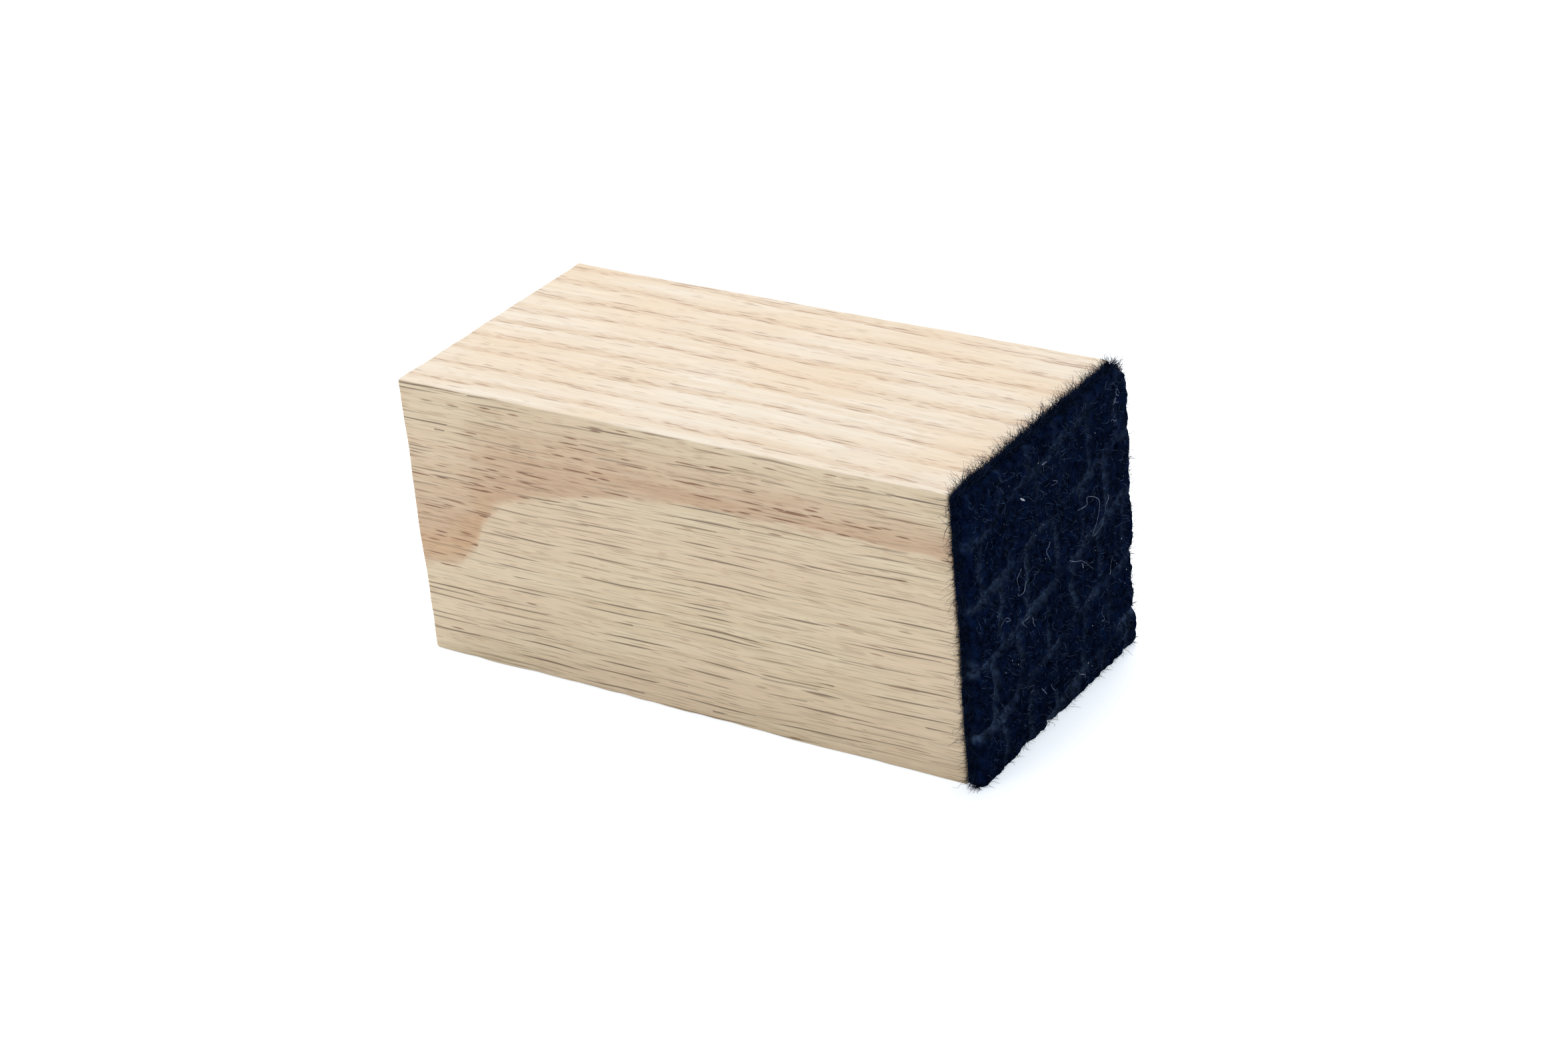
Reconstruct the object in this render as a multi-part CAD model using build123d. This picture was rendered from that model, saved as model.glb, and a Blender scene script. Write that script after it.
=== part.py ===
from build123d import *
import os

# Chalkboard eraser: a bar of oak with a felt pad glued over one of its ends.
# The bar lies on its long side. +X runs along it towards the felt, +Y to its back, +Z is up.
# The origin is on the face it rests on, at the centre of the whole eraser's footprint.
# All sizes are in millimetres.

# Oak block, sawn square and lightly eased along every edge
block_length = 76.2
block_width = 37.5
block_height = 37.0
block_arris = 0.6

# Film of glue between the block's end and the pad
glue_thickness = 0.2
glue_setback = 0.4

# Felt pad, cut flush with the block's four long faces
felt_thickness = 2.0
felt_corner = 0.8
felt_worn_corner = 3.5

# Places along the eraser
total_length = block_length + glue_thickness + felt_thickness
block_start = -total_length / 2
block_end = block_start + block_length
felt_start = block_end + glue_thickness
mid_height = block_height / 2


def make_oak_block():
    """The bar, with a small round on all twelve edges."""
    bar = Box(block_length, block_width, block_height)
    bar = fillet(bar.edges(), block_arris)
    return Pos(block_start + block_length / 2, 0, mid_height) * bar


def make_glue_film():
    """The film lies on the flat of the block's end, a little short of the eased edges."""
    edge_gap = block_arris + glue_setback
    film_width = block_width - 2 * edge_gap
    film_height = block_height - 2 * edge_gap
    film = Box(glue_thickness, film_width, film_height)
    return Pos(block_end + glue_thickness / 2, 0, mid_height) * film


def make_felt_pad():
    """A plate of felt. Its upper back corner is worn rounder than the other three."""
    pad = Box(felt_thickness, block_width, block_height)
    corners = pad.edges().filter_by(Axis.X).sort_by(lambda edge: edge.center().Y + edge.center().Z)
    pad = fillet(corners[-1:], felt_worn_corner)
    corners = pad.edges().filter_by(Axis.X).filter_by(is_sharp_corner)
    pad = fillet(corners, felt_corner)
    return Pos(felt_start + felt_thickness / 2, 0, mid_height) * pad


def is_sharp_corner(edge):
    """True for an edge that lies on both a side plane and a top or bottom plane of the pad."""
    centre = edge.center()
    on_side = abs(abs(centre.Y) - block_width / 2) < felt_corner / 2
    on_end = abs(abs(centre.Z) - block_height / 2) < felt_corner / 2
    return on_side and on_end


subparts = {
    "oak_block": make_oak_block(),
    "glue_film": make_glue_film(),
    "felt_pad": make_felt_pad(),
}

os.makedirs("parts", exist_ok=True)
for name, solid in subparts.items():
    export_step(solid, f"parts/{name}.step")
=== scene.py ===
import math

import bpy
import numpy as np
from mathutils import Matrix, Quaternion, Vector


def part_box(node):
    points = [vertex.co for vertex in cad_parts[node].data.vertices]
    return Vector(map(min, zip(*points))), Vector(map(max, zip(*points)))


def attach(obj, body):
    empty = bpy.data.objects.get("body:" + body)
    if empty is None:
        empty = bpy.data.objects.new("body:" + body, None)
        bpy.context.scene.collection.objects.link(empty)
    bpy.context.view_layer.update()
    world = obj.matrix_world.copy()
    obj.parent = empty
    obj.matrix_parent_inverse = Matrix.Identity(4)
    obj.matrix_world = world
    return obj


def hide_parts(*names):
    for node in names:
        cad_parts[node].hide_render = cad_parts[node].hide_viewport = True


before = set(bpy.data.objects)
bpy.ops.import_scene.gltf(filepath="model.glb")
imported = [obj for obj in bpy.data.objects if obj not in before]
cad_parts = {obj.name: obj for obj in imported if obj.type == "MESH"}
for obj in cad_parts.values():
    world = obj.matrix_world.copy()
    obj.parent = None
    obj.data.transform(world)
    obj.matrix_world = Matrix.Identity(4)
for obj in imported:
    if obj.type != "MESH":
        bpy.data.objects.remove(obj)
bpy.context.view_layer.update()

# A chalkboard eraser: an oak bar with a dark felt pad glued over its +X end.
# Lengths are in metres. MM turns millimetres into metres.
MM = 0.001
OAK_LO, OAK_HI = (np.array(corner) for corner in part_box("oak_block"))
FELT_LO, FELT_HI = (np.array(corner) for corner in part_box("felt_pad"))
GLUE_LO, GLUE_HI = (np.array(corner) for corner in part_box("glue_film"))
HEIGHT = float(OAK_HI[2] - OAK_LO[2])
LENGTH = float(OAK_HI[0] - OAK_LO[0])

# The bar's eased edges, how far their wear varies, and how uneven its sanded faces are
EDGE_ROUND = 0.55 * MM
EDGE_WEAR = 0.3 * MM
FACE_WAVE = 0.03 * MM
FACE_FUZZ = 0.012 * MM
OAK_CELL = 0.6 * MM

# The oak's growth rings, in shares of the bar's height. The front face cuts one ring at a slant,
# and BAND_EDGE is that ring's sharp lower edge: shares of the bar's length, and heights.
RING_PITCH = 0.112
RING_SLANT_START = 0.10
RING_SLANT_END = 0.37
BAND_EDGE = [(0.0, 0.30), (0.06, 0.325), (0.11, 0.40), (0.145, 0.53), (0.19, 0.61),
             (0.27, 0.665), (0.45, 0.735), (0.66, 0.765), (1.0, 0.768)]

# The glue's rim: how far it squeezes out past the CAD film, and the points round it
GLUE_SQUEEZE = 0.3 * MM
GLUE_STEPS = 240

# The felt's outline and face
FELT_CELL = 0.2 * MM
FELT_LAYERS = 9
FELT_CORNER = 0.8 * MM
FELT_WORN_CORNER = 2.8 * MM
FELT_RIM_ROUND = 0.7 * MM
FELT_RAGGED = 0.8 * MM
NAP_DEPTH = 0.2 * MM
SWELL_DEPTH = 0.12 * MM

# The felt's creases: rows that slope up towards the back, with short joints between them
CREASE_DEPTH = 0.7 * MM
CREASE_WIDTH = 0.55 * MM
CREASE_ROW_PITCH = 8.1 * MM
CREASE_ROW_START = 17.7 * MM
CREASE_JOINT_PITCH = 6.3 * MM
CREASE_SLOPE = math.tan(math.radians(9.5))

# The felt's fibres. The pad's edges are counted as back 0 to 1, front 1 to 2, base 2 to 3 and
# top 3 to 4, and the fuzz stands along the stretch from the first number to the second.
ROOT_DEPTH = 0.1 * MM
NAP_COUNT = 9800
NAP_RADIUS = 0.032 * MM
FUZZ_COUNT = 7600
FUZZ_EDGES = (0, 3)
TOP_FUZZ_COUNT = 4200
TOP_FUZZ_EDGES = (3, 4)
FUZZ_RADIUS = 0.03 * MM
FUZZ_LONGEST = 2.5 * MM

# Lint and chalk caught on the face. Places are shares of the face's width and height, from its
# lower front corner.
LINT_RADIUS = 0.034 * MM
LINT_STOPS = 28
LONG_STRANDS = [
    [(0.634, 0.656), (0.687, 0.650), (0.694, 0.675), (0.767, 0.630), (0.760, 0.571),
     (0.724, 0.520), (0.787, 0.530), (0.794, 0.552)],
    [(0.567, 0.513), (0.607, 0.490), (0.654, 0.467), (0.707, 0.416)],
    [(0.827, 0.620), (0.822, 0.597), (0.807, 0.571)],
]
SHORT_STRAND_COUNT = 18
CRUMB_COUNT = 46
CRUMB_LIFT = 0.14 * MM
FLAKE_SPOT = (0.31, 0.85)
FLAKE_SIZE = (0.16 * MM, 0.2 * MM, 0.42 * MM)
FLAKE_TILT = 1.2

# The camera looks at a point close to the bar's middle, in shares of the bar's height
LENS_MM = 77.9
SENSOR_MM = 36
VIEW_AZIMUTH = 35.02
VIEW_ELEVATION = 27.35
VIEW_ROLL = -5.29
VIEW_DISTANCE = 11.008 * HEIGHT
VIEW_OFFSET = (0.070 * HEIGHT, 0.020 * HEIGHT, -0.047 * HEIGHT)

# The studio. Each lamp is a disk that faces the origin: its place, its watts and its colour.
WORLD_LEVEL = 0.44
FLOOR_GLOW = 0.66
FLOOR_HALF = 1.5
LAMP_SIZE = 0.5
LAMPS = {
    "key": ((-0.15, 0.25, 0.75), 5.0, (1.0, 0.98, 0.95)),
    "fill": ((-0.3, -0.8, 0.22), 2.0, (1.0, 0.985, 0.965)),
}


# ---------------------------------------------------------------- helpers for meshes

def unit(vectors):
    """The same directions, each one long."""
    return vectors / np.maximum(np.linalg.norm(vectors, axis=-1, keepdims=True), 1e-9)


def spread(low, high, step, edge):
    """Places from low to high, a step apart, and closer together within edge of each end."""
    near = edge * np.array([0, 0.1, 0.22, 0.36, 0.52, 0.72])
    count = max(2, round((high - low - 2 * edge) / step) + 1)
    middle = np.linspace(low + edge, high - edge, count)
    return np.concatenate([low + near, middle, (high - near)[::-1]])


def skin(xs, ys, zs):
    """The points and outward quads of the closed skin of a box, cut by planes at xs, ys and zs."""
    shape = (len(xs), len(ys), len(zs))
    inside = np.zeros(shape, bool)
    inside[1:-1, 1:-1, 1:-1] = True
    ids = np.full(shape, -1)
    ids[~inside] = np.arange(np.count_nonzero(~inside))
    grid = np.stack(np.meshgrid(xs, ys, zs, indexing="ij"), axis=-1)
    quads = []
    for axis in range(3):
        for end in (0, -1):
            side = np.take(ids, end, axis=axis)
            cells = np.stack([side[:-1, :-1], side[1:, :-1], side[1:, 1:], side[:-1, 1:]], axis=-1)
            if (end == 0) != (axis == 1):
                cells = cells[..., ::-1]
            quads.append(cells.reshape(-1, 4))
    return grid[~inside], np.concatenate(quads)


def halves(quads):
    """Each quad as two triangles."""
    return np.concatenate([quads[:, [0, 1, 2]], quads[:, [0, 2, 3]]])


def noise(points, cell, seed):
    """Smooth noise from -1 to 1. cell is its grain, one size or one for each axis."""
    random = np.random.default_rng(seed)
    place = points / cell
    place = place - place.min(axis=0)
    corner = np.floor(place).astype(int)
    share = place - corner
    share = share * share * (3 - 2 * share)
    table = random.uniform(-1, 1, corner.max(axis=0) + 2)
    total = np.zeros(len(points))
    for step in np.ndindex(2, 2, 2):
        weight = np.prod(np.where(step, share, 1 - share), axis=1)
        total += weight * table[tuple((corner + step).T)]
    return total


def add_mesh(name, points, faces, material, highlight=None, smooth=True):
    """A new piece that rides on the eraser's one body, with a number for each point that sets how
    much painted highlight the felt's colour takes there.
    """
    mesh = bpy.data.meshes.new(name)
    sides = faces.shape[1]
    mesh.vertices.add(len(points))
    mesh.vertices.foreach_set("co", np.asarray(points, np.float32).ravel())
    mesh.loops.add(faces.size)
    mesh.loops.foreach_set("vertex_index", faces.astype(np.int32).ravel())
    mesh.polygons.add(len(faces))
    mesh.polygons.foreach_set("loop_start", np.arange(0, faces.size, sides, dtype=np.int32))
    mesh.polygons.foreach_set("use_smooth", np.full(len(faces), smooth))
    if highlight is not None:
        layer = mesh.attributes.new("highlight", "FLOAT", "POINT")
        layer.data.foreach_set("value", np.asarray(highlight, np.float32))
    mesh.update()
    mesh.validate()
    mesh.materials.append(material)
    piece = bpy.data.objects.new(name, mesh)
    bpy.context.scene.collection.objects.link(piece)
    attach(piece, "root")
    return piece


# ---------------------------------------------------------------- helpers for materials

def srgb(red, green, blue):
    """A colour written as 0 to 255 on a screen, as Blender's shaders take it."""
    def linear(value):
        share = value / 255
        return share / 12.92 if share <= 0.04045 else ((share + 0.055) / 1.055) ** 2.4
    return (linear(red), linear(green), linear(blue), 1.0)


class Graph:
    """A material's node tree, with a short call for each kind of node that is used here."""

    def __init__(self, name):
        self.material = bpy.data.materials.new(name)
        self.material.use_nodes = True
        self.tree = self.material.node_tree
        self.shader = self.tree.nodes["Principled BSDF"]

    def node(self, kind, **settings):
        made = self.tree.nodes.new(kind)
        for key, value in settings.items():
            setattr(made, key, value)
        return made

    def feed(self, socket, value):
        if isinstance(value, bpy.types.NodeSocket):
            self.tree.links.new(value, socket)
        else:
            socket.default_value = value

    def math(self, operation, *values):
        made = self.node("ShaderNodeMath", operation=operation)
        for socket, value in zip(made.inputs, values):
            self.feed(socket, value)
        return made.outputs[0]

    def plus(self, total, *others):
        for other in others:
            total = self.math("ADD", total, other)
        return total

    def times(self, product, *others):
        for other in others:
            product = self.math("MULTIPLY", product, other)
        return product

    def minus(self, first, second):
        return self.math("SUBTRACT", first, second)

    def vector(self, operation, *values):
        made = self.node("ShaderNodeVectorMath", operation=operation)
        for socket, value in zip(made.inputs, values):
            self.feed(socket, value)
        return made.outputs[0]

    def split(self, vector):
        made = self.node("ShaderNodeSeparateXYZ")
        self.feed(made.inputs[0], vector)
        return made.outputs

    def join(self, x, y, z):
        made = self.node("ShaderNodeCombineXYZ")
        for socket, value in zip(made.inputs, (x, y, z)):
            self.feed(socket, value)
        return made.outputs[0]

    def place(self):
        """Where a point is, in metres."""
        return self.node("ShaderNodeTexCoord").outputs["Object"]

    def noise(self, vector, scale=1.0, detail=2.0, roughness=0.5):
        made = self.node("ShaderNodeTexNoise")
        self.feed(made.inputs["Vector"], vector)
        made.inputs["Scale"].default_value = scale
        made.inputs["Detail"].default_value = detail
        made.inputs["Roughness"].default_value = roughness
        return made.outputs["Fac"]

    def grain(self, place, along, across, **settings):
        """Noise that is drawn out along X, where along is less than across."""
        return self.noise(self.vector("MULTIPLY", place, (along, across, across)), **settings)

    def fade(self, value, start, end, low=0.0, high=1.0):
        """Goes smoothly from low to high as value goes from start to end."""
        made = self.node("ShaderNodeMapRange", interpolation_type="SMOOTHSTEP")
        for socket, item in zip(made.inputs, (value, start, end, low, high)):
            self.feed(socket, item)
        return made.outputs[0]

    def curve(self, value, points):
        """A smooth curve through a few points, each from 0 to 1 both ways."""
        made = self.node("ShaderNodeFloatCurve")
        line = made.mapping.curves[0]
        while len(line.points) < len(points):
            line.points.new(0.5, 0.5)
        for point, place in zip(line.points, points):
            point.location = place
        made.mapping.update()
        self.feed(made.inputs["Value"], value)
        return made.outputs[0]

    def dashes(self, place, length, spacing, thickness, reach, flat=False):
        """Thin tapered dashes along X, one to a cell. length and spacing are the cells' size, and
        reach is a dash's share of its cell's length. Flat ones are sheets that are long along Y.
        Also gives each dash's own random value."""
        sheet = 6.0
        spot = self.vector("DIVIDE", place, (length, sheet if flat else spacing, spacing))
        cell = self.node("ShaderNodeTexVoronoi")
        self.feed(cell.inputs["Vector"], spot)
        cell.inputs["Scale"].default_value = 1.0
        off = self.split(self.vector("SUBTRACT", spot, cell.outputs["Position"]))
        own = self.split(cell.outputs["Color"])
        half_length = self.times(self.plus(own[1], 0.45), reach * 0.5)
        along = self.math("DIVIDE", off[0], half_length)
        if flat:
            across = self.math("ABSOLUTE", off[2])
        else:
            across = self.plus(self.times(off[1], off[1]), self.times(off[2], off[2]))
            across = self.math("SQRT", across)
        body = self.minus(1.0, self.times(along, along))
        body = self.minus(body, self.times(across, 2 * spacing / thickness))
        return self.fade(body, 0.0, 0.7), own[0]

    def mix(self, share, first, second, blend="MIX"):
        made = self.node("ShaderNodeMix", data_type="RGBA", blend_type=blend)
        self.feed(made.inputs[0], share)
        self.feed(made.inputs[6], first)
        self.feed(made.inputs[7], second)
        return made.outputs[2]

    def attribute(self, name):
        return self.node("ShaderNodeAttribute", attribute_name=name).outputs["Fac"]

    def bump(self, height, distance, strength):
        made = self.node("ShaderNodeBump")
        made.inputs["Strength"].default_value = strength
        made.inputs["Distance"].default_value = distance
        self.feed(made.inputs["Height"], height)
        return made.outputs[0]

    def finish(self, colour, roughness, normal=None, **uniform):
        self.feed(self.shader.inputs["Base Color"], colour)
        self.feed(self.shader.inputs["Roughness"], roughness)
        if normal is not None:
            self.feed(self.shader.inputs["Normal"], normal)
        for key, value in uniform.items():
            self.shader.inputs[key.replace("_", " ")].default_value = value
        return self.material


# ---------------------------------------------------------------- colours

FRONT_PALE = srgb(230, 215, 187)
FRONT_DARK = srgb(219, 201, 170)
TOP_PALE = srgb(231, 222, 208)
TOP_DARK = srgb(224, 210, 190)
HONEY = srgb(225, 203, 176)
EARLY_WOOD = srgb(203, 172, 143)
AMBER = srgb(214, 170, 120)
SHORT_RAY = srgb(154, 130, 106)
LONG_RAY = srgb(108, 91, 77)
SMALL_PORE = srgb(172, 134, 104)
BIG_PORE = srgb(122, 82, 60)
END_GRAIN = srgb(168, 134, 96)
GLUE_PALE = srgb(214, 196, 158)
GLUE_DARK = srgb(190, 168, 128)
WOOL_DARK = srgb(0, 4, 23)
WOOL_NAVY = srgb(5, 20, 52)
WOOL_BLUE = srgb(10, 30, 68)
# Painted highlight on the felt: the pale blue-grey of its crease lines and brightest fibres
WOOL_HIGHLIGHT = srgb(88, 112, 148)
WOOL_SHEEN = (0.35, 0.5, 0.8, 1.0)
LINT_PALE = srgb(158, 172, 198)
LINT_DARK = srgb(118, 134, 166)
CHALK_PALE = srgb(225, 228, 232)
CHALK_DARK = srgb(176, 190, 206)
FLOOR_PALE = srgb(244, 246, 250)
FLOOR_GLOW_COLOUR = (0.86, 0.93, 1.0, 1.0)


# ---------------------------------------------------------------- materials

def oak_rings(g, place, wander):
    """The early wood of each growth ring, from 0 to 1, and a point's height above the lower edge
    of the ring that the front face cuts at a slant."""
    along, depth, up = g.split(place)
    length = LENGTH / HEIGHT
    ripple = g.minus(g.grain(place, 5.0, 22.0), 0.5)
    edge = g.curve(g.math("DIVIDE", along, length), BAND_EDGE)
    above = g.plus(g.minus(up, edge), g.times(ripple, 0.07), g.times(wander, 0.06))
    slant = g.fade(along, 0.0, length, RING_SLANT_START, RING_SLANT_END)
    lean_over = g.times(slant, g.math("MAXIMUM", above, 0.0))
    lean_under = g.times(0.08, g.math("MINIMUM", above, 0.0))
    inner = g.fade(depth, 0.0, 0.12)
    rings = g.plus(depth, lean_over, lean_under, g.times(wander, 0.09, inner))
    ring = g.math("FRACT", g.plus(g.math("DIVIDE", rings, RING_PITCH), 10.0))
    early = g.times(g.fade(ring, 0.0, 0.06), g.fade(ring, 0.06, 0.55, 1.0, 0.0))
    return early, above


def oak_pores(g, place, early):
    """Big and small pores: long thin tubes, open and crowded in the early wood."""
    def pores(length, spacing, thickness, shift, least):
        spot = g.vector("ADD", place, (shift, shift, shift))
        mask, own = g.dashes(spot, length, spacing, thickness, 1.3)
        open_here = g.plus(early, g.minus(least, own))
        return g.times(mask, g.fade(open_here, -0.1, 0.15))

    big = pores(length=0.11, spacing=0.0118, thickness=0.0084, shift=0.0, least=0.10)
    small = pores(length=0.06, spacing=0.0075, thickness=0.0055, shift=7.3, least=0.28)
    return big, small


def oak_rays(g, place, wander, early, on_top, on_end):
    """Long and short rays: flat sheets across the rings, which the front face cuts as thin dark
    dashes that rise a little. The top lies along them, so it shows none."""
    along, depth, up = g.split(place)
    level = g.plus(g.minus(up, g.times(along, 0.022)), g.times(wander, 0.05))
    level_place = g.join(along, depth, level)
    seen = g.times(g.minus(1.0, on_top), g.minus(1.0, g.times(early, 0.6)),
                   g.minus(1.0, g.times(on_end, 0.7)))

    def rays(length, spacing, thickness, shift, faint):
        spot = g.vector("ADD", level_place, (shift, shift, shift))
        mask, own = g.dashes(spot, length, spacing, thickness, 1.15, flat=True)
        return g.times(mask, g.fade(own, 0.0, 1.0, faint, 1.0), seen)

    long_rays = rays(length=0.36, spacing=0.027, thickness=0.0082, shift=3.1, faint=0.15)
    short_rays = rays(length=0.17, spacing=0.0115, thickness=0.0050, shift=11.7, faint=0.0)
    return long_rays, short_rays


def oak_tone(g, place, early, above, on_top, fibre):
    """The wood's colour without its pores and rays: streaks, soft patches and early wood."""
    along, depth, _ = g.split(place)
    streak = g.grain(place, 1.6, 38.0, detail=3.0, roughness=0.55)
    patch = g.grain(place, 1.0, 2.6, scale=1.7, detail=1.0)
    streaked = g.fade(streak, 0.3, 0.7)
    colour = g.mix(on_top, g.mix(streaked, FRONT_PALE, FRONT_DARK),
                   g.mix(streaked, TOP_PALE, TOP_DARK))
    colour = g.mix(g.fade(patch, 0.35, 0.72, 0.0, 0.6), colour, HONEY)
    early_share = g.times(early, g.minus(0.95, g.times(on_top, 0.55)),
                          g.fade(streak, 0.25, 0.65, 0.65, 1.0))
    colour = g.mix(early_share, colour, EARLY_WOOD)
    amber = g.times(g.fade(above, 0.0, 0.22, 1.0, 0.0), g.fade(along, 0.1, 0.42, 1.0, 0.0),
                    g.fade(depth, 0.0, 0.15, 1.0, 0.0), early, g.fade(patch, 0.3, 0.6))
    colour = g.mix(g.times(amber, 0.7), colour, AMBER)
    fine = g.fade(fibre, 0.35, 0.65, 0.94, 1.04)
    return g.mix(1.0, colour, g.join(fine, fine, fine), "MULTIPLY")


def oak_material():
    """Sanded oak as a solid: growth rings, pores that run along X, and rays that run along Y.

    Places are in shares of the bar's height: along the grain, in from the front face, and up."""
    g = Graph("oak")
    place = g.vector("SUBTRACT", g.place(), tuple(OAK_LO))
    place = g.vector("MULTIPLY", place, (1 / HEIGHT,) * 3)
    facing = g.split(g.node("ShaderNodeNewGeometry").outputs["Normal"])
    on_top = g.fade(g.math("ABSOLUTE", facing[2]), 0.5, 0.9)
    on_end = g.fade(g.math("ABSOLUTE", facing[0]), 0.6, 0.95)
    wander = g.minus(g.grain(place, 1.3, 3.0), 0.5)
    fibre = g.grain(place, 7.0, 210.0, detail=3.0, roughness=0.6)
    early, above = oak_rings(g, place, wander)
    big_pores, small_pores = oak_pores(g, place, early)
    long_rays, short_rays = oak_rays(g, place, wander, early, on_top, on_end)

    colour = oak_tone(g, place, early, above, on_top, fibre)
    colour = g.mix(g.times(short_rays, 0.55), colour, SHORT_RAY)
    colour = g.mix(g.times(long_rays, 0.85), colour, LONG_RAY)
    colour = g.mix(g.times(small_pores, 0.5), colour, SMALL_PORE)
    pore_share = g.minus(0.85, g.times(on_top, 0.3))
    colour = g.mix(g.times(big_pores, pore_share), colour, BIG_PORE)
    colour = g.mix(g.times(on_end, 0.32), colour, END_GRAIN)

    hollow = g.plus(g.times(big_pores, 0.9), g.times(long_rays, 0.6), g.times(small_pores, 0.35))
    normal = g.bump(g.minus(g.times(fibre, 0.45), hollow), 0.05 * MM, 0.55)
    roughness = g.fade(fibre, 0.3, 0.7, 0.52, 0.68)
    return g.finish(colour, roughness, normal, Specular_IOR_Level=0.35)


def felt_material(name):
    """Dark navy wool, paler where painted highlight is mixed in by each point's highlight share:
    along its creases and on a few bright fibres.
    """
    g = Graph(name)
    place = g.place()
    mottle = g.noise(place, scale=900.0, detail=4.0, roughness=0.7)
    cloud = g.noise(place, scale=260.0, detail=3.0)
    colour = g.mix(g.fade(mottle, 0.4, 0.65), WOOL_DARK, WOOL_NAVY)
    colour = g.mix(g.times(g.fade(cloud, 0.5, 0.8), 0.4), colour, WOOL_BLUE)
    # Painted highlight: the pale highlight colour, mixed in by each point's highlight share
    colour = g.mix(g.times(g.attribute("highlight"), 0.85), colour, WOOL_HIGHLIGHT)
    return g.finish(colour, 0.95, g.bump(mottle, 0.25 * MM, 0.8), Specular_IOR_Level=0.0,
                    Sheen_Weight=0.02, Sheen_Roughness=0.5, Sheen_Tint=WOOL_SHEEN)


def pale_material(name, first, second):
    """Lint, chalk dust or dried glue: two close tones, mottled."""
    g = Graph(name)
    mottle = g.noise(g.place(), scale=1500.0, detail=3.0, roughness=0.6)
    colour = g.mix(g.fade(mottle, 0.35, 0.65), first, second)
    roughness = g.fade(mottle, 0.3, 0.7, 0.6, 0.85)
    return g.finish(colour, roughness, g.bump(mottle, 0.05 * MM, 0.5))


# ---------------------------------------------------------------- the oak bar

def make_oak_bar():
    """The bar's skin, with edges rounded unevenly by wear and slightly wavy faces."""
    edge = EDGE_ROUND + EDGE_WEAR
    places = [spread(OAK_LO[i], OAK_HI[i], OAK_CELL, edge) for i in range(3)]
    points, quads = skin(*places)
    wear = noise(points, 9 * MM, 1) * 0.6 + noise(points, 2.2 * MM, 2) * 0.4
    radius = (EDGE_ROUND + EDGE_WEAR * wear)[:, None]
    core = np.clip(points, OAK_LO + radius, OAK_HI - radius)
    out = unit(points - core)
    rounded = core + out * radius
    wave = noise(rounded, (22 * MM, 7 * MM, 7 * MM), 3) * FACE_WAVE
    fuzz = noise(rounded, (3 * MM, 0.9 * MM, 0.9 * MM), 4) * FACE_FUZZ
    sanded = rounded - out * np.abs(wave + fuzz)[:, None]
    bar = add_mesh("oak_bar", sanded, quads, oak_material())
    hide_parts("oak_block")


# ---------------------------------------------------------------- the glue line

def make_glue_line():
    """The film between wood and felt. Its rim wanders, where the glue squeezed out more or less.

    It is rings round the film, each a share of the rim's reach, closed by a fan on each face."""
    middle = (GLUE_LO + GLUE_HI) / 2
    half = (GLUE_HI - GLUE_LO) / 2 + GLUE_SQUEEZE
    thickness = float(GLUE_HI[0] - GLUE_LO[0])
    turn = np.linspace(0, 2 * math.pi, GLUE_STEPS, endpoint=False)
    square = np.maximum(np.abs(np.cos(turn)), np.abs(np.sin(turn)))
    outline = np.stack([np.zeros(GLUE_STEPS), np.cos(turn) / square, np.sin(turn) / square], axis=1)
    outline = outline * [0, half[1], half[2]]
    wander = 1 + 0.010 * noise(outline, 2.5 * MM, 5) + 0.006 * noise(outline, 0.9 * MM, 6)
    outline = outline * wander[:, None]
    rings = [(-0.5, 0.5), (-0.5, 0.985), (0.0, 1.0), (0.5, 0.985), (0.5, 0.5)]
    points = [middle + outline * share + [side * thickness, 0, 0] for side, share in rings]
    points.append([middle - [thickness / 2, 0, 0], middle + [thickness / 2, 0, 0]])
    around = np.arange(GLUE_STEPS)
    after = np.roll(around, -1)
    faces = []
    for ring in range(len(rings) - 1):
        low = ring * GLUE_STEPS
        high = low + GLUE_STEPS
        strip = np.stack([low + around, low + after, high + after, high + around], axis=1)
        faces.append(halves(strip))
    last = (len(rings) - 1) * GLUE_STEPS
    centre = np.full(GLUE_STEPS, len(rings) * GLUE_STEPS)
    faces.append(np.stack([centre, after, around], axis=1))
    faces.append(np.stack([centre + 1, last + around, last + after], axis=1))
    material = pale_material("dried_glue", GLUE_PALE, GLUE_DARK)
    glue = add_mesh("glue_line", np.concatenate(points), np.concatenate(faces), material)
    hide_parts("glue_film")


# ---------------------------------------------------------------- the felt pad

def creases(across, up):
    """How deep in a crease each place of the face is, from 0 to 1. The creases lie in sloping
    rows, with short joints between them that step sideways from row to row, as in brickwork.

    across runs from the pad's middle to the back, and up from its base."""
    flat = np.stack([across, up, np.zeros(len(up))], axis=1)
    across = across + noise(flat, 3.0 * MM, 21) * 0.8 * MM
    up = up + noise(flat, 3.5 * MM, 22) * 0.6 * MM
    level = (up - CREASE_ROW_START - across * CREASE_SLOPE) / CREASE_ROW_PITCH
    row = np.floor(level).astype(int)
    to_row = np.abs(level - np.round(level)) * CREASE_ROW_PITCH
    step = across / CREASE_JOINT_PITCH + 0.5 * (row % 2) + 0.13 * np.sin(row * 2.3)
    to_joint = np.abs(step - np.round(step)) * CREASE_JOINT_PITCH
    row_line = np.exp(-((to_row / CREASE_WIDTH) ** 2))
    joint_line = 0.85 * np.exp(-((to_joint / (0.8 * CREASE_WIDTH)) ** 2))
    depth = np.maximum(row_line, joint_line)
    broken = 0.5 + 0.8 * noise(flat, 3.4 * MM, 23) + 0.3 * noise(flat, 1.0 * MM, 24)
    shallow_top = np.clip((0.95 * HEIGHT - up) / (0.3 * HEIGHT), 0.25, 1)
    return depth * np.clip(broken, 0.06, 1) * shallow_top


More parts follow.
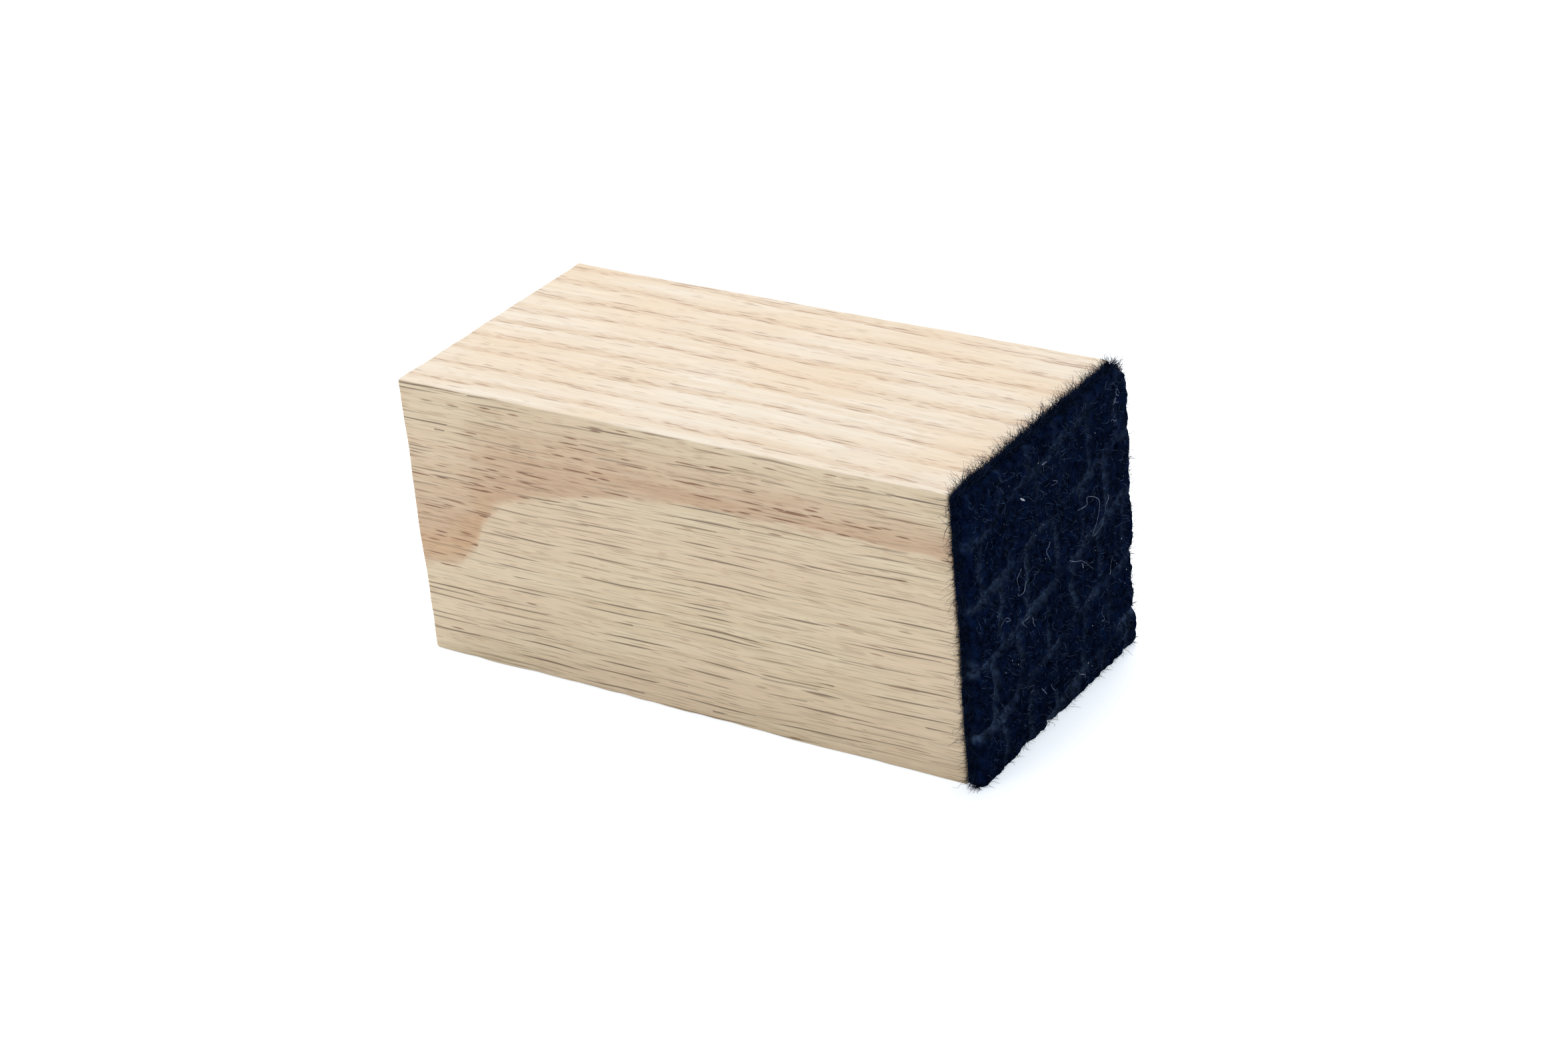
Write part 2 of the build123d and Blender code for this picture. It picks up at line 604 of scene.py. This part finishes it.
def shape_felt(points):
    """Turns the pad's box into its worn shape, and gives each point's crease depth."""
    middle = (FELT_LO + FELT_HI) / 2
    half = (FELT_HI - FELT_LO) / 2
    flat = points[:, 1:] - middle[1:]
    to_rim = np.min(half[1:] - np.abs(flat), axis=1)
    worn = (flat[:, 0] > 0) & (flat[:, 1] > 0)
    corner = np.where(worn, FELT_WORN_CORNER, FELT_CORNER)[:, None]
    past = np.abs(flat) - (half[1:] - corner)
    in_corner = np.all(past > 0, axis=1)
    squeeze = past.max(axis=1) / np.maximum(np.linalg.norm(past, axis=1), 1e-9)
    rounded = half[1:] - corner + past * squeeze[:, None]
    flat = np.where(in_corner[:, None], np.sign(flat) * rounded, flat)
    near = np.clip(FELT_RIM_ROUND - to_rim, 0, None)
    drop = FELT_RIM_ROUND - np.sqrt(FELT_RIM_ROUND ** 2 - near ** 2)
    thickness = 2 * half[0]
    raised = (points[:, 0] - FELT_LO[0]) / thickness
    crease = creases(flat[:, 0], flat[:, 1] + middle[2])
    nap = (noise(points, 0.75 * MM, 31) + 0.7 * noise(points, 0.36 * MM, 32)) * NAP_DEPTH
    swell = noise(points, 3.2 * MM, 33) * SWELL_DEPTH
    height = thickness - drop - crease * CREASE_DEPTH + nap + swell
    shaped = points.copy()
    shaped[:, 0] = FELT_LO[0] + raised * height
    ragged = noise(points, 0.8 * MM, 34) * 0.16 * MM + noise(points, 4 * MM, 35) * 0.14 * MM
    at_rim = np.clip(1 - to_rim / FELT_RAGGED, 0, 1)
    shaped[:, 1:] = middle[1:] + flat * (1 + (ragged * at_rim / half[1])[:, None])
    shaped[:, 2] = np.maximum(shaped[:, 2], FELT_LO[2])
    return shaped, crease


def make_felt_pad(material):
    """One closed mesh of felt, with a napped and creased outer face."""
    xs = np.linspace(FELT_LO[0], FELT_HI[0], FELT_LAYERS)
    ys, zs = (spread(FELT_LO[i], FELT_HI[i], FELT_CELL, 0.5 * MM) for i in (1, 2))
    points, quads = skin(xs, ys, zs)
    shaped, crease = shape_felt(points)
    # Painted highlight: pale along the creases, broken into flecks, as a share for each point
    flecks = 0.45 + 0.5 * noise(shaped, 0.32 * MM, 36) + 0.25 * noise(shaped, 0.9 * MM, 37)
    highlight = np.clip((crease * 1.1 + 0.04) * flecks, 0, 1)
    pad = add_mesh("felt_cloth", shaped, quads, material, highlight)
    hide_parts("felt_pad")


# ---------------------------------------------------------------- fibres

def tubes(name, paths, radius, sides, material, highlights):
    """Fibres as one mesh of closed tubes. paths holds each fibre's points, from its root to its
    thinner tip."""
    count, stops, _ = paths.shape
    heading = unit(np.gradient(paths, axis=1))
    side = np.where(np.abs(heading[:, 0, 2:]) < 0.8, [[0, 0, 1.0]], [[0, 1.0, 0]])
    turns = np.arange(sides)[:, None] * 2 * math.pi / sides
    rings = []
    for stop, taper in enumerate(np.linspace(1.0, 0.35, stops)):
        facing = heading[:, stop]
        side = unit(side - facing * np.sum(side * facing, axis=1, keepdims=True))
        other = np.cross(facing, side)
        out = side[:, None] * np.cos(turns) + other[:, None] * np.sin(turns)
        rings.append(paths[:, stop, None] + out * taper * radius)
    points = np.stack(rings, axis=1)
    starts = np.arange(count)[:, None] * stops * sides
    here = (starts + np.arange((stops - 1) * sides)).reshape(count, stops - 1, sides)
    after = np.roll(here, -1, axis=2)
    walls = np.stack([here, after, after + sides, here + sides], axis=-1).reshape(-1, 4)
    fan = np.arange(1, sides - 1)
    corner = np.zeros_like(fan)
    roots = starts[..., None] + np.stack([corner, fan + 1, fan], axis=-1)
    tips = starts[..., None] + (stops - 1) * sides + np.stack([corner, fan, fan + 1], axis=-1)
    faces = np.concatenate([halves(walls), roots.reshape(-1, 3), tips.reshape(-1, 3)])
    highlight = np.repeat(highlights, stops * sides)
    add_mesh(name, points.reshape(-1, 3), faces, material, highlight)


def wander_paths(roots, headings, lengths, curl, stops, random):
    """Fibres that set out from roots along headings and turn a little at each stop."""
    paths = [roots]
    heading = headings
    for _ in range(stops - 1):
        heading = unit(heading + curl * random.normal(size=heading.shape))
        paths.append(paths[-1] + heading * (lengths / (stops - 1))[:, None])
    paths = np.stack(paths, axis=1)
    paths[..., 2] = np.maximum(paths[..., 2], FELT_LO[2] + 0.05 * MM)
    return paths


def make_nap(material):
    """Short curly fibres that lie over the felt's face."""
    random = np.random.default_rng(41)
    inset = 0.5 * MM
    spots = random.uniform(FELT_LO[1:] + inset, FELT_HI[1:] - inset, (NAP_COUNT, 2))
    roots = np.column_stack([np.full(NAP_COUNT, FELT_HI[0]), spots])
    roots, crease = shape_felt(roots)
    roots[:, 0] -= ROOT_DEPTH
    headings = unit(random.normal(size=(NAP_COUNT, 3)) * [0.3, 1, 1] + [0.55, 0.1, -0.25])
    lengths = random.uniform(0.5, 1.3, NAP_COUNT) * MM
    paths = wander_paths(roots, headings, lengths, 0.55, 4, random)
    # Painted highlight: a few nap fibres, and those over creases, take much of the pale highlight
    # colour
    highlights = np.clip(crease * 0.5 + random.uniform(0, 1, NAP_COUNT) ** 5 * 1.6, 0, 1)
    tubes("felt_nap", paths, NAP_RADIUS, 3, material, highlights)


def make_rim_fuzz(name, material, seed, count, edges, stretch):
    """Fibres that stand out from some of the pad's edges, a few of them over the wood. Their
    lengths are stretched by stretch."""
    random = np.random.default_rng(seed)
    turn = random.uniform(*edges, count)
    side = turn.astype(int)
    along = (turn - side) * 2 - 1
    half = (FELT_HI - FELT_LO) / 2
    middle = (FELT_HI + FELT_LO) / 2
    spots = np.select([side[:, None] == i for i in range(4)], [
        np.column_stack([np.full(count, half[1]), along * half[2]]),
        np.column_stack([np.full(count, -half[1]), along * half[2]]),
        np.column_stack([along * half[1], np.full(count, -half[2])]),
        np.column_stack([along * half[1], np.full(count, half[2])])])
    depth = random.uniform(0.05, 0.95, count) * (FELT_HI[0] - FELT_LO[0])
    roots = np.column_stack([FELT_LO[0] + depth, spots + middle[1:]])
    roots, _ = shape_felt(roots)
    outward = (roots - middle) * [0, 1, 1]
    edge = np.abs(outward[:, 1:]) / half[1:]
    outward[:, 1:] = np.sign(outward[:, 1:]) * (edge > 0.93)
    outward = unit(outward)
    roots -= outward * ROOT_DEPTH
    headings = unit(outward + random.normal(size=(count, 3)) * [0.35, 0.6, 0.6])
    lengths = (0.38 + random.exponential(0.5, count)) * stretch * MM
    lengths = np.minimum(lengths, FUZZ_LONGEST)
    paths = wander_paths(roots, headings, lengths, 0.35, 5, random)
    # Painted highlight: some fuzz fibres take a little of the pale highlight colour
    highlights = random.uniform(0, 0.5, count) ** 2
    tubes(name, paths, FUZZ_RADIUS, 3, material, highlights)


# ---------------------------------------------------------------- lint and chalk

def face_point(across, up):
    """A place on the felt's face, in shares of its width and height from the lower front."""
    spot = np.array([[FELT_HI[0], 0, 0]])
    spot[0, 1:] = FELT_LO[1:] + (FELT_HI[1:] - FELT_LO[1:]) * [across, up]
    return shape_felt(spot)[0][0]


def smooth_path(points, stops):
    """A smooth curve of so many stops through a few points, as a Catmull-Rom spline."""
    points = np.asarray(points, float)
    before = 2 * points[:1] - points[1:2]
    beyond = 2 * points[-1:] - points[-2:-1]
    padded = np.concatenate([before, points, beyond])
    place = np.linspace(0, len(points) - 1, stops)
    span = np.minimum(place.astype(int), len(points) - 2)
    t = (place - span)[:, None]
    p0, p1, p2, p3 = (padded[span + shift] for shift in range(4))
    return 0.5 * (2 * p1 + (p2 - p0) * t + (2 * p0 - 5 * p1 + 4 * p2 - p3) * t ** 2
                  + (3 * p1 - p0 - 3 * p2 + p3) * t ** 3)


def make_lint():
    """Pale curly fibres caught on the face: three long ones, and short crooked ones."""
    random = np.random.default_rng(43)
    strands = list(LONG_STRANDS)
    for _ in range(SHORT_STRAND_COUNT):
        start = random.uniform(0.05, 0.95, 2)
        bends = start + np.cumsum(random.normal(0, 0.016, (4, 2)), axis=0)
        strands.append(np.clip(bends, 0.02, 0.98))
    width = (FELT_HI - FELT_LO)[1:]
    paths = []
    for strand in strands:
        flat = smooth_path(strand, LINT_STOPS) * width + FELT_LO[1:]
        lift = (0.24 + 0.10 * np.sin(np.linspace(0, random.uniform(4, 9), LINT_STOPS))) * MM
        paths.append(np.column_stack([FELT_HI[0] + lift, flat]))
    material = pale_material("lint", LINT_PALE, LINT_DARK)
    tubes("lint", np.stack(paths), LINT_RADIUS, 5, material, np.zeros(len(paths)))


def crumb_shape():
    """A six-sided crumb of radius one, pointed at both ends: its points and triangles."""
    turns = np.arange(6) * math.pi / 3
    star = np.column_stack([np.zeros(6), np.cos(turns), np.sin(turns)])
    points = np.concatenate([[[0.6, 0, 0]], star, [[-0.6, 0, 0]]])
    around = 1 + np.arange(6)
    after = np.roll(around, -1)
    top = np.column_stack([np.zeros(6, int), around, after])
    base = np.column_stack([np.full(6, 7), after, around])
    return points, np.concatenate([top, base])


def make_specks():
    """Crumbs of chalk caught in the nap. The first is a larger flake near the top."""
    random = np.random.default_rng(44)
    shape, faces = crumb_shape()
    points, triangles = [], []
    spots = random.uniform(0.05, 0.95, (CRUMB_COUNT, 2))
    for number, spot in enumerate(spots):
        size = random.uniform(0.04, 0.085) * MM
        crumb = shape * random.uniform(0.6, 1.3, shape.shape) * size
        if number == 0:
            spot = FLAKE_SPOT
            crumb = shape * FLAKE_SIZE
            crumb[:, 1] -= crumb[:, 2] * FLAKE_TILT
        triangles.append(faces + len(points) * len(shape))
        points.append(crumb + face_point(*spot) + [CRUMB_LIFT, 0, 0])
    add_mesh("chalk_crumbs", np.concatenate(points), np.concatenate(triangles),
             pale_material("chalk", CHALK_PALE, CHALK_DARK), smooth=False)


# ---------------------------------------------------------------- camera, floor and light

def make_camera():
    data = bpy.data.cameras.new("camera")
    data.lens = LENS_MM
    data.sensor_width = SENSOR_MM
    data.clip_start = 0.01
    camera = bpy.data.objects.new("camera", data)
    bpy.context.scene.collection.objects.link(camera)
    azimuth = math.radians(VIEW_AZIMUTH)
    elevation = math.radians(VIEW_ELEVATION)
    back = Vector((math.sin(azimuth) * math.cos(elevation),
                   -math.cos(azimuth) * math.cos(elevation), math.sin(elevation)))
    aim = Vector((OAK_LO + OAK_HI) / 2) + Vector(VIEW_OFFSET)
    camera.location = aim + back * VIEW_DISTANCE
    camera.rotation_mode = "QUATERNION"
    roll = Quaternion((0, 0, 1), math.radians(VIEW_ROLL))
    camera.rotation_quaternion = (-back).to_track_quat("-Z", "Y") @ roll
    bpy.context.scene.camera = camera


def make_floor():
    """A pale floor that the camera sees a little brighter than it is lit, so only shadow shows."""
    g = Graph("floor")
    g.finish(FLOOR_PALE, 0.9, Specular_IOR_Level=0.0)
    seen = g.node("ShaderNodeLightPath").outputs["Is Camera Ray"]
    g.shader.inputs["Emission Color"].default_value = FLOOR_GLOW_COLOUR
    g.feed(g.shader.inputs["Emission Strength"], g.times(seen, FLOOR_GLOW))
    corners = [(-FLOOR_HALF, -FLOOR_HALF, 0), (FLOOR_HALF, -FLOOR_HALF, 0),
               (FLOOR_HALF, FLOOR_HALF, 0), (-FLOOR_HALF, FLOOR_HALF, 0)]
    mesh = bpy.data.meshes.new("floor")
    mesh.from_pydata(corners, [], [(0, 1, 2, 3)])
    mesh.materials.append(g.material)
    floor = bpy.data.objects.new("floor", mesh)
    bpy.context.scene.collection.objects.link(floor)


def make_world():
    """Soft white light from all round, seen by the camera as plain white."""
    world = bpy.data.worlds.new("studio")
    world.use_nodes = True
    tree = world.node_tree
    background = tree.nodes["Background"]
    background.inputs["Color"].default_value = (1.0, 1.0, 1.0, 1.0)
    path = tree.nodes.new("ShaderNodeLightPath")
    level = tree.nodes.new("ShaderNodeMapRange")
    level.inputs["To Min"].default_value = WORLD_LEVEL
    level.inputs["To Max"].default_value = 1.0
    tree.links.new(path.outputs["Is Camera Ray"], level.inputs["Value"])
    tree.links.new(level.outputs["Result"], background.inputs["Strength"])
    bpy.context.scene.world = world


def make_lamp(name, place, watts, colour):
    data = bpy.data.lights.new(name, "AREA")
    data.shape = "DISK"
    data.size = LAMP_SIZE
    data.energy = watts
    data.color = colour
    lamp = bpy.data.objects.new(name, data)
    lamp.location = place
    lamp.rotation_mode = "QUATERNION"
    lamp.rotation_quaternion = (-Vector(place)).to_track_quat("-Z", "Y")
    bpy.context.scene.collection.objects.link(lamp)


def main():
    make_camera()
    make_floor()
    make_world()
    for name, (place, watts, colour) in LAMPS.items():
        make_lamp(name, place, watts, colour)
    make_oak_bar()
    make_glue_line()
    make_felt_pad(felt_material("felt"))
    fibre = felt_material("felt_fibre")
    make_nap(fibre)
    make_rim_fuzz("felt_fuzz", fibre, 42, FUZZ_COUNT, FUZZ_EDGES, 1.15)
    make_rim_fuzz("felt_fuzz_top", fibre, 45, TOP_FUZZ_COUNT, TOP_FUZZ_EDGES, 1.35)
    make_lint()
    make_specks()


main()
bpy.context.scene.view_settings.view_transform = "Standard"
